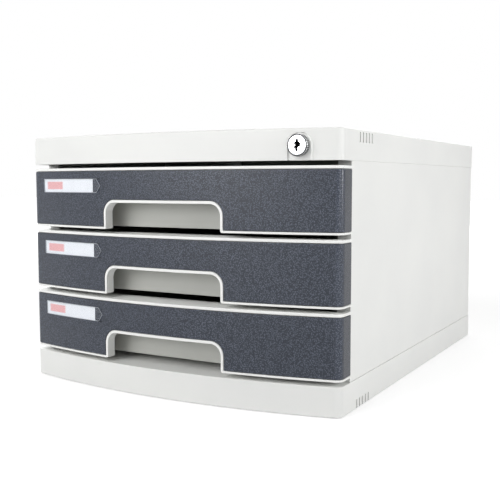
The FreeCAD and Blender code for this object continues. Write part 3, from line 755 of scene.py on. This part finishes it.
def prism(outline: Sequence[tuple[float, float]], front: float, back: float) -> bmesh.types.BMesh:
    """Makes a block with an outline in X and Z.

    Args:
        outline: Corners in millimetres.
        front: Y of its near end in millimetres.
        back: Y of its far end in millimetres.

    Returns:
        The closed shape, faces outward.
    """
    shape = bmesh.new()
    ends = [[shape.verts.new((x * MM, y * MM, z * MM)) for x, z in outline]
            for y in (front, back)]
    shape.faces.new(ends[0])
    shape.faces.new(list(reversed(ends[1])))
    for k, _ in enumerate(outline):
        n = (k + 1) % len(outline)
        shape.faces.new([ends[0][k], ends[1][k], ends[1][n], ends[0][n]])
    bmesh.ops.recalc_face_normals(shape, faces=shape.faces)
    return shape


def cut_from(mesh: bpy.types.Mesh, tool: bmesh.types.BMesh) -> bpy.types.Mesh:
    """Cuts a tool's shape out of a mesh.

    Args:
        mesh: The mesh to cut.
        tool: What is taken away, which is freed.

    Returns:
        The cut mesh.
    """
    cutter = add_object("cutter", to_mesh(tool, "cutter"))

    def fit(worker: bpy.types.Object) -> None:
        """Adds the cut.

        Args:
            worker: The object that is cut.
        """
        boolean = worker.modifiers.new("cut", "BOOLEAN")
        boolean.operation = "DIFFERENCE"
        boolean.solver = "EXACT"
        boolean.object = cutter

    made = evaluated(mesh, fit)
    bpy.data.objects.remove(cutter)
    return made


def moved(mesh: bpy.types.Mesh, place: Sequence[float]) -> bpy.types.Mesh:
    """Moves a mesh by so many millimetres and gives it back."""
    mesh.transform(Matrix.Translation(Vector(place) * MM))
    return mesh


def four_up(name: str, material: bpy.types.Material, width: float, depth: float,
            centre: Sequence[float], tilt: float, spin: float, seed: int) -> Growth:
    """Makes a tree that sets its mesh at the four corners of a rectangle.

    Args:
        name: The tree's name.
        material: Finish of what it sets.
        width: Spacing along X in millimetres.
        depth: Spacing across it in millimetres.
        centre: Middle of the rectangle in millimetres.
        tilt: Turn of the rectangle about X in degrees.
        spin: Most that each one is turned about Y, in radians.
        seed: Seed of those turns.

    Returns:
        The finished tree.
    """
    tree = Growth(name, {
        "Width": ("NodeSocketFloat", width * MM),
        "Depth": ("NodeSocketFloat", depth * MM),
        "Centre": ("NodeSocketVector", tuple(c * MM for c in centre)),
        "Tilt": ("NodeSocketFloat", math.radians(tilt)),
        "Spin": ("NodeSocketFloat", spin),
        "Seed": ("NodeSocketInt", seed),
    })
    corners = tree.node("GeometryNodeMeshGrid", {}, {
        "Size X": tree.given("Width"), "Size Y": tree.given("Depth"),
        "Vertices X": 2, "Vertices Y": 2}, "Mesh")
    lean = tree.node("ShaderNodeCombineXYZ", {}, {"X": tree.given("Tilt")})
    stood = tree.node("GeometryNodeTransform", {}, {
        "Geometry": corners, "Translation": tree.given("Centre"), "Rotation": lean})
    angle = tree.node("FunctionNodeRandomValue", {"data_type": "FLOAT"}, {
        "Max": tree.given("Spin"), "Seed": tree.given("Seed")}, 1)
    turn = tree.node("ShaderNodeCombineXYZ", {}, {"Y": angle})
    spread = tree.node("GeometryNodeInstanceOnPoints", {}, {
        "Points": stood, "Instance": tree.given("Geometry"), "Rotation": turn})
    tree.end(spread, material)
    return tree


def install(mesh: bpy.types.Mesh, name: str, body: Body,
            material: bpy.types.Material, nodes: Sequence[str]) -> None:
    """Puts a finished mesh into the scene as a piece of the object.

    Args:
        mesh: The mesh, in its place.
        name: The piece's name.
        body: The body it rides on.
        material: Its material.
        nodes: The CAD nodes it stands for.
    """
    mesh.materials.clear()
    mesh.materials.append(material)
    piece = add_object(name, mesh)
    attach(piece, body.value)
    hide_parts(*nodes)
    LOG.info("%s: %d faces on %s", name, len(mesh.polygons), body.value)


# Sub-assemblies


class Palette:
    """Every finish, made once."""

    def __init__(self) -> None:
        """Makes the materials."""
        axis = (LOCK_X * MM, 0.0, LOCK_Z * MM)
        self.light = MouldedPlastic("pale_case_plastic", (0.80, 0.805, 0.785),
                                    (0.775, 0.78, 0.765)).material()
        self.front = MouldedPlastic("pale_front_plastic", (0.87, 0.875, 0.855),
                                    (0.845, 0.85, 0.835)).material()
        # The trays' plastic is made darker than the case's pale plastic: painted shade for the
        # hollow behind each handle.
        self.tray = MouldedPlastic("shaded_tray_plastic", (0.54, 0.545, 0.51),
                                   (0.51, 0.515, 0.485), roughness=0.5,
                                   texture=0.4).material()
        self.dark = GrainedPlastic("slate_grained_plastic", (0.022, 0.0275, 0.0405),
                                   (0.103, 0.118, 0.156), pebble=0.95 * MM,
                                   roughness=0.34).material()
        self.card = NameCardPaper("name_card", (0.88, 0.91, 0.96), (0.83, 0.42, 0.43)).material()
        self.clear = ClearPlastic("clear_slip", (0.5, 0.53, 0.58), (0.66, 0.7, 0.76)).material()
        self.rubber = Rubber("foot_rubber", (0.03, 0.03, 0.032), (0.07, 0.068, 0.065)).material()
        self.chrome = Metal("lock_chrome", (0.86, 0.87, 0.88), (0.8, 0.81, 0.84),
                            roughness=0.1, axis=axis).material()
        self.plated = Metal("zinc_plate", (0.6, 0.6, 0.56), (0.5, 0.52, 0.52),
                            roughness=0.32).material()
        self.screw = Metal("screw_zinc", (0.62, 0.62, 0.6), (0.5, 0.51, 0.53),
                           roughness=0.28).material()


@dataclass
class Screw:
    """A pan-head screw with a cross recess."""

    head: float = 3.2
    height: float = 1.8
    shank: float = 1.5
    length: float = 6.0
    pitch: float = 0.5
    root: float = 0.8
    tip: float = 0.75
    recess_half: float = 0.45
    recess_reach: float = 1.9
    recess_depth: float = 1.1
    steps: int = 48
    dome: Sequence[tuple[float, float]] = ((0.45, 0.985), (0.72, 0.9), (0.9, 0.68),
                                           (0.985, 0.38), (1.0, 0.12), (0.98, 0.0))

    def mesh(self) -> bpy.types.Mesh:
        """Makes the screw with its head's seat on Y = 0 and its head toward +Y.

        Returns:
            The closed mesh.
        """
        profile = [(0.0, self.height)]
        profile += [(self.head * out, self.height * up) for out, up in self.dome]
        profile += [(self.shank, 0.0)]
        for turn in range(int(self.length / self.pitch) - 1):
            start = -self.pitch * (turn + 0.3)
            profile += [(self.shank * self.root, start - 0.15), (self.shank, start - 0.3)]
        profile += [(self.shank * self.tip, -self.length), (0.0, -self.length)]
        body = to_mesh(lathe(profile, self.steps), "screw")
        half, reach = self.recess_half, self.recess_reach
        cross = [(half, half), (half, reach), (-half, reach), (-half, half), (-reach, half),
                 (-reach, -half), (-half, -half), (-half, -reach), (half, -reach),
                 (half, -half), (reach, -half), (reach, half)]
        return cut_from(body, prism(cross, self.height - self.recess_depth, self.height + 1.0))


@dataclass
class Case:
    """The cover, base, side panels, back panel, feet and screws."""

    palette: Palette
    screw_x: float = 134.8
    screw_low: float = 45.0
    screw_high: float = 135.0
    screw_seat: float = 182.4
    foot_x: float = 115.0
    foot_front: float = -140.0
    foot_back: float = 160.0
    foot_radius: float = 6.0
    foot_height: float = 3.0
    groove: float = 3.0

    def build(self) -> None:
        """Builds every piece of the case."""
        shells = (("top_cover", 0.4, 0.16), ("base_tray", 0.4, 0.3),
                  ("left_side_panel", 0.3, 0.3), ("right_side_panel", 0.3, 0.3),
                  ("back_panel", 0.3, 0.3))
        for node, radius, crumb in shells:
            shell = rounded(to_mesh(merged_copy(node, crumb), node), radius)
            # The grooves' faces are marked for painted shade.
            mark_recesses(shell, self.groove)
            install(shell, f"{node}_shell", Body.CASE, self.palette.light, [node])
        self.feet()
        self.screws()

    def feet(self) -> None:
        """Four rubber pads with a dished ring in the underside."""
        r, h = self.foot_radius, self.foot_height
        pad = [(0.0, 0.12), (r * 0.3, 0.12), (r * 0.36, 0.0), (r * 0.52, 0.0), (r * 0.56, 0.18),
               (r * 0.68, 0.18), (r * 0.72, 0.0), (r - 0.35, 0.0), (r - 0.1, 0.1), (r, 0.35),
               (r, h - 0.15), (r - 0.15, h), (0.0, h)]
        master = to_mesh(lathe(pad, steps=64), "foot")
        master.transform(Matrix.Rotation(math.radians(90), 4, "X"))
        tree = four_up("feet_in_the_base", self.palette.rubber, width=2 * self.foot_x,
                       depth=self.foot_back - self.foot_front,
                       centre=(0.0, (self.foot_front + self.foot_back) / 2, 0.0),
                       tilt=0.0, spin=0.0, seed=5)
        mesh = tree.grow(master)
        smooth(mesh, angle=40.0)
        install(mesh, "rubber_foot_pads", Body.CASE, self.palette.rubber,
                ["rubber_feet"])

    def screws(self) -> None:
        """Four screws in the back panel, each stopped at its own turn."""
        tree = four_up("screws_in_the_back", self.palette.screw, width=2 * self.screw_x,
                       depth=self.screw_high - self.screw_low,
                       centre=(0.0, self.screw_seat, (self.screw_low + self.screw_high) / 2),
                       tilt=90.0, spin=math.tau, seed=11)
        mesh = tree.grow(Screw().mesh())
        smooth(mesh, angle=35.0)
        install(mesh, "back_panel_screws", Body.CASE, self.palette.screw,
                ["case_screws"])


@dataclass
class Drawer:
    """One drawer: tray, front moulding, facing, name card and its clear slip.

    The limits that end in _way are parts of a face's direction: past edge_way along Z, or past
    front_way or corner_way along Y, it is an edge, and past side_way it is round the corner.
    """

    palette: Palette
    tier: str
    body: Body
    corner_x: float = 132.0
    side_shade: float = 0.55
    edge_way: float = 0.5
    front_way: float = -0.85
    corner_way: float = 0.3
    side_way: float = -0.2
    slip_edge: float = 0.28
    slip_way: float = 0.93

    def build(self) -> None:
        """Builds every piece of the drawer."""
        front, tray, dark = self.palette.front, self.palette.tray, self.palette.dark
        for part, radius, slot, material in (("drawer_tray", 0.3, Slot.TRAY, tray),
                                             ("drawer_front", 0.4, Slot.LIGHT, front),
                                             ("drawer_facing", 0.45, Slot.DARK, dark)):
            node = f"{self.tier}_{part}"
            shell = rounded(to_mesh(merged_copy(node, crumb=0.3), node), radius)
            # The facing's edges and the side round its corner are marked for painted shade.
            if slot is Slot.DARK:
                mark_faces(shell, PAINTED_SHADE_MASK, self.shade_of)
            install(shell, f"{node}_shell", self.body, material, [node])
        self.card()
        self.slip()

    def shade_of(self, face: bpy.types.MeshPolygon) -> float:
        """Painted shade of a face of the facing, whose edges stand under the moulding's lip.

        Args:
            face: The face.

        Returns:
            One on the edges, less on the side round a corner, nought in front.
        """
        turned = abs(face.center.x) > self.corner_x * MM
        back = self.corner_way if turned else self.front_way
        edge = abs(face.normal.z) > self.edge_way or face.normal.y > back
        side = turned and face.normal.y > self.side_way
        return max(float(edge), self.side_shade * float(side))

    def card(self) -> None:
        """The name card, with a UV map for its printed bar."""
        node = f"{self.tier}_label_card"
        low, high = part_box(node)
        mesh = to_mesh(merged_copy(node), node)
        layer = mesh.uv_layers.new(name="card")
        for loop in mesh.loops:
            corner = mesh.vertices[loop.vertex_index].co
            layer.data[loop.index].uv = ((corner.x - low.x) / (high.x - low.x),
                                         (corner.z - low.z) / (high.z - low.z))
        smooth(mesh, angle=30.0)
        install(mesh, f"{self.tier}_name_card", self.body, self.palette.card, [node])

    def slip(self) -> None:
        """The clear slip, with its cut edges marked for the painted highlight in its finish."""
        node = f"{self.tier}_label_window"
        mesh = rounded(to_mesh(merged_copy(node), node), self.slip_edge, angle=30.0)
        mark_faces(mesh, RIM, lambda face: abs(face.normal.y) < self.slip_way)
        install(mesh, f"{self.tier}_label_slip", self.body, self.palette.clear, [node])


@dataclass
class Lock:
    """The cam lock, its nut and crank, and the bar that it lowers."""

    palette: Palette
    x: float = LOCK_X
    z: float = LOCK_Z
    face: float = -179.1
    seat: float = -174.3
    bezel: float = 7.8
    barrel: float = 6.0
    barrel_back: float = -153.0
    disc: float = 6.2
    plug: float = 4.5
    plug_back: float = -152.0
    play: float = 0.08
    flutes: int = 40
    flute_depth: float = 0.3
    thread_pitch: float = 1.0
    thread_depth: float = 0.45
    mouth_depth: float = 1.6
    disc_sunk: float = 0.1
    disc_thick: float = 1.4
    screw_length: float = 7.0
    ring_inner: float = 6.8
    ring_outer: float = 7.5
    ring_depth: float = 0.7
    keyway_depth: float = 14.0
    keyway: Sequence[tuple[float, float]] = (
        (-1.25, -4.2), (0.65, -4.2), (0.65, -1.4), (2.6, -0.7), (2.6, 1.4), (0.95, 2.7),
        (0.95, 4.2), (-0.95, 4.2), (-0.95, 2.7), (-2.6, 1.4), (-1.25, 0.0), (-2.6, -1.4),
        (-1.25, -2.7))

    def build(self) -> None:
        """Builds every piece of the lock."""
        self.housing()
        self.turning_plug()
        plated = self.palette.plated
        for node, name, body in (("lock_nut", "lock_clamp_nut", Body.CASE),
                                 ("lock_cam", "lock_crank", Body.LOCK_PLUG),
                                 ("lock_bar", "gang_bar", Body.LOCK_BAR)):
            mesh = rounded(to_mesh(merged_copy(node), node), radius=0.2)
            install(mesh, name, body, plated, [node])
        low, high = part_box("cam_screw")
        seat = low.y / MM + self.screw_length
        mesh = moved(Screw(length=self.screw_length).mesh(),
                     ((low.x + high.x) / 2 / MM, seat, (low.z + high.z) / 2 / MM))
        smooth(mesh, angle=35.0)
        install(mesh, "crank_screw", Body.LOCK_PLUG, self.palette.screw,
                ["cam_screw"])

    def housing(self) -> None:
        """Bezel with a fluted rim and a ring groove round its face, on a threaded barrel; the ring
        and the flute valleys get painted shade.
        """
        mouth = self.disc + self.play
        bore = self.plug + self.play
        face, seat, back = self.face, self.seat, self.barrel_back
        inner, outer, floor = self.ring_inner, self.ring_outer, face + self.ring_depth
        profile = [(mouth, face + 0.15), (mouth + 0.12, face), (inner - 0.1, face),
                   (inner, face + 0.1), (inner, floor), (outer, floor),
                   (outer, face + 0.35), (outer + 0.1, face + 0.25),
                   (self.bezel - 0.05, face + 0.45), (self.bezel, face + 0.8),
                   (self.bezel, seat - 0.25), (self.bezel - 0.2, seat), (self.barrel, seat)]
        pitch = self.thread_pitch
        y = seat + pitch
        while y < back - pitch:
            profile += [(self.barrel - 0.02, y), (self.barrel - self.thread_depth, y + pitch * 0.5)]
            y += pitch
        profile += [(self.barrel - 0.02, y), (self.barrel - 0.4, back), (bore, back),
                    (bore, face + self.mouth_depth), (mouth, face + self.mouth_depth)]
        mesh = to_mesh(lathe(profile, steps=6 * self.flutes), "lock_housing")
        mark_faces(mesh, PAINTED_SHADE_MASK, self.in_painted_shade)
        mesh = moved(self.fluting().grow(mesh), (self.x, 0.0, self.z))
        smooth(mesh, angle=50.0)
        install(mesh, "lock_bezel_and_barrel", Body.CASE, self.palette.chrome,
                ["lock_housing"])

    def fluting(self) -> Growth:
        """Makes the tree that presses flutes into whatever lies past the bezel's reach.

        Returns:
            The finished tree.
        """
        tree = Growth("bezel_flutes", {
            "Flutes": ("NodeSocketFloat", float(self.flutes)),
            "Depth": ("NodeSocketFloat", self.flute_depth * MM),
            "Reach": ("NodeSocketFloat", (self.bezel - 0.05) * MM),
        })
        place = tree.node("GeometryNodeInputPosition", {}, {})
        x = tree.node("ShaderNodeSeparateXYZ", {}, {0: place})
        z = x.also("Z")
        angle = tree.node("ShaderNodeMath", {"operation": "ARCTAN2"}, {0: z, 1: x})
        wave = tree.node("ShaderNodeMath", {"operation": "COSINE"},
                         {0: angle * tree.given("Flutes")})
        across = tree.node("ShaderNodeCombineXYZ", {}, {"X": x, "Z": z})
        out = tree.node("ShaderNodeVectorMath", {"operation": "NORMALIZE"}, {0: across})
        reach = tree.node("ShaderNodeVectorMath", {"operation": "LENGTH"}, {0: across}, "Value")
        push = tree.node("ShaderNodeVectorMath", {"operation": "SCALE"}, {
            0: out, "Scale": (wave - 1.0) * 0.5 * tree.given("Depth")})
        cut = tree.node("GeometryNodeSetPosition", {}, {
            "Geometry": tree.given("Geometry"), "Selection": reach.over(tree.given("Reach")),
            "Offset": push})
        tree.end(cut, self.palette.chrome)
        return tree

    def in_painted_shade(self, part: bpy.types.MeshPolygon) -> bool:
        """Tells whether a face is in the ring round the bezel's face or in a flute's valley, where
        shade is painted.

        Args:
            part: The face.

        Returns:
            True where the face is painted black as shade.
        """
        x, y, z = part.center / MM
        reach, depth = math.hypot(x, z), y - self.face
        ring = self.ring_inner - 0.04 < reach < self.ring_outer + 0.04 and 0.05 < depth < 1.0
        valley = math.cos(self.flutes * math.atan2(z, x)) < 0.5
        side = reach > self.bezel - 0.1 and depth > 0.8 and y < self.seat - 0.3
        return ring or (side and valley)

    def turning_plug(self) -> None:
        """Plug with its keyway cut through the disc and painted dark inside as shade."""
        face = self.face + self.disc_sunk
        profile = [(0.0, face), (self.disc - 0.15, face), (self.disc, face + 0.15),
                   (self.disc, face + self.disc_thick), (self.plug, face + self.disc_thick),
                   (self.plug, self.plug_back), (0.0, self.plug_back)]
        body = to_mesh(lathe(profile, steps=128), "lock_plug")
        cut = cut_from(body, prism(self.keyway, face - 1.0, self.face + self.keyway_depth))
        mark_faces(cut, PAINTED_SHADE_MASK, self.in_keyway)
        mesh = moved(cut, (self.x, 0.0, self.z))
        smooth(mesh, angle=30.0)
        install(mesh, "lock_turning_plug", Body.LOCK_PLUG, self.palette.chrome,
                ["lock_plug"])

    def in_keyway(self, part: bpy.types.MeshPolygon) -> bool:
        """Tells whether a face of the plug is a wall or the floor of its keyway, where shade is
        painted.

        Args:
            part: The face.

        Returns:
            True in the keyway.
        """
        x, y, z = part.center / MM
        depth = y - self.face
        return math.hypot(x, z) < self.plug - 0.3 and 0.15 < depth < self.keyway_depth + 0.1


# Studio


@dataclass(frozen=True)
class Softbox:
    """A soft rectangular lamp."""

    name: str
    place: Sequence[float]
    width: float
    height: float
    power: float

    def hang(self, target: Vector) -> None:
        """Hangs the lamp.

        Args:
            target: The point that it faces.
        """
        data = bpy.data.lights.new(self.name, "AREA")
        data.shape = "RECTANGLE"
        data.size = self.width
        data.size_y = self.height
        data.energy = self.power
        lamp = add_object(self.name, data)
        lamp.location = self.place
        lamp.rotation_euler = (target - lamp.location).to_track_quat("-Z", "Y").to_euler()


@dataclass
class Studio:
    """Pale floor, soft light and the camera."""

    lens: float = 57.4965
    sensor: float = 36.0
    eye: Sequence[float] = (0.3541, -0.6748, 0.166)
    yaw: float = 29.3273
    pitch: float = 4.8844
    roll: float = -0.1085
    ambient: float = 0.145
    floor_size: float = 6.0
    floor_paint: Colour = (0.8, 0.8, 0.8)
    floor_shown: Colour = (0.45, 0.45, 0.45)
    floor_glow: float = 0.66
    glow_rise: float = 0.4
    glow_near: float = 0.3
    glow_far: float = 1.6
    aim: Sequence[float] = (0.0, 0.0, 0.1)
    boxes: Sequence[Softbox] = (
        Softbox("low_key", (-0.436, -1.08, 0.39), 0.6, 0.4, 2.67),
        Softbox("front_strip", (-0.216, -1.537, 0.487), 0.5, 0.5, 2.57),
        Softbox("high_key", (-0.191, -0.899, 0.871), 0.6, 0.5, 4.55),
        Softbox("corner_strip", (1.149, -0.775, 0.295), 0.2, 0.4, 1.25),
        Softbox("side_strip", (0.939, -0.09, 0.37), 0.18, 0.42, 3.9),
        Softbox("top_fill", (0.1, 0.3, 2.1), 1.6, 1.6, 4.0),
        Softbox("left_fill", (-1.7, 1.0, 0.8), 1.0, 1.0, 13.0),
        Softbox("back_fill", (-0.6, 2.2, 1.0), 1.4, 1.4, 20.0),
    )

    def build(self) -> None:
        """Builds the studio."""
        self.camera()
        self.floor()
        self.world()
        for box in self.boxes:
            box.hang(Vector(self.aim))
        bpy.context.scene.view_settings.view_transform = "Standard"

    def camera(self) -> None:
        """Sets up the camera."""
        yaw, pitch, roll = (math.radians(a) for a in (self.yaw, self.pitch, self.roll))
        look = Vector((-math.sin(yaw) * math.cos(pitch), math.cos(yaw) * math.cos(pitch),
                       -math.sin(pitch)))
        right = Vector((math.cos(yaw), math.sin(yaw), 0.0))
        up = right.cross(look)
        side = right * math.cos(roll) + up * math.sin(roll)
        top = up * math.cos(roll) - right * math.sin(roll)
        data = bpy.data.cameras.new("camera")
        data.lens = self.lens
        data.sensor_width = self.sensor
        data.clip_start = 0.01
        camera = add_object("camera", data)
        turn = Matrix((side, top, -look)).transposed().to_4x4()
        camera.matrix_world = Matrix.Translation(self.eye) @ turn
        bpy.context.scene.camera = camera

    def floor(self) -> None:
        """A wide pale floor that shows white but keeps the object's shadow."""
        shape = bmesh.new()
        bmesh.ops.create_grid(shape, x_segments=8, y_segments=8, size=self.floor_size)
        floor = add_object("studio_floor", to_mesh(shape, "studio_floor"))
        recipe = Recipe("studio_floor")
        reach = recipe.node("ShaderNodeVectorMath", {"operation": "LENGTH"},
                            {0: recipe.place()}, "Value")
        paint = recipe.node("ShaderNodeBsdfDiffuse", {}, {"Color": (*self.floor_paint, 1.0)})
        pale = recipe.node("ShaderNodeBsdfDiffuse", {}, {"Color": (*self.floor_shown, 1.0)})
        rise = recipe.band(reach, self.glow_near, self.glow_far) * self.glow_rise
        glow = recipe.node("ShaderNodeEmission", {},
                           {"Color": WHITE, "Strength": self.floor_glow + rise})
        lit = recipe.node("ShaderNodeAddShader", {}, {0: pale, 1: glow})
        surface = recipe.node("ShaderNodeMixShader", {}, {0: recipe.shown(), 1: paint, 2: lit})
        recipe.node("ShaderNodeOutputMaterial", {}, {"Surface": surface})
        floor.data.materials.append(recipe.material)

    def world(self) -> None:
        """White surroundings for what is seen, and soft light from all sides."""
        world = bpy.data.worlds.new("studio")
        world.use_nodes = True
        bpy.context.scene.world = world
        tree = Tree(world.node_tree)
        share = tree.shown()
        level = share + (1.0 - share) * self.ambient
        sky = tree.node("ShaderNodeBackground", {}, {"Color": WHITE, "Strength": level})
        tree.node("ShaderNodeOutputWorld", {}, {"Surface": sky})


def main() -> None:
    """Builds the whole object and its studio."""
    logging.basicConfig(level=logging.INFO, format="%(message)s", force=True)
    palette = Palette()
    Case(palette).build()
    for tier, body in (("lower", Body.LOWER), ("middle", Body.MIDDLE), ("upper", Body.UPPER)):
        Drawer(palette, tier, body).build()
    Lock(palette).build()
    Studio().build()


if __name__ == "__main__":
    main()
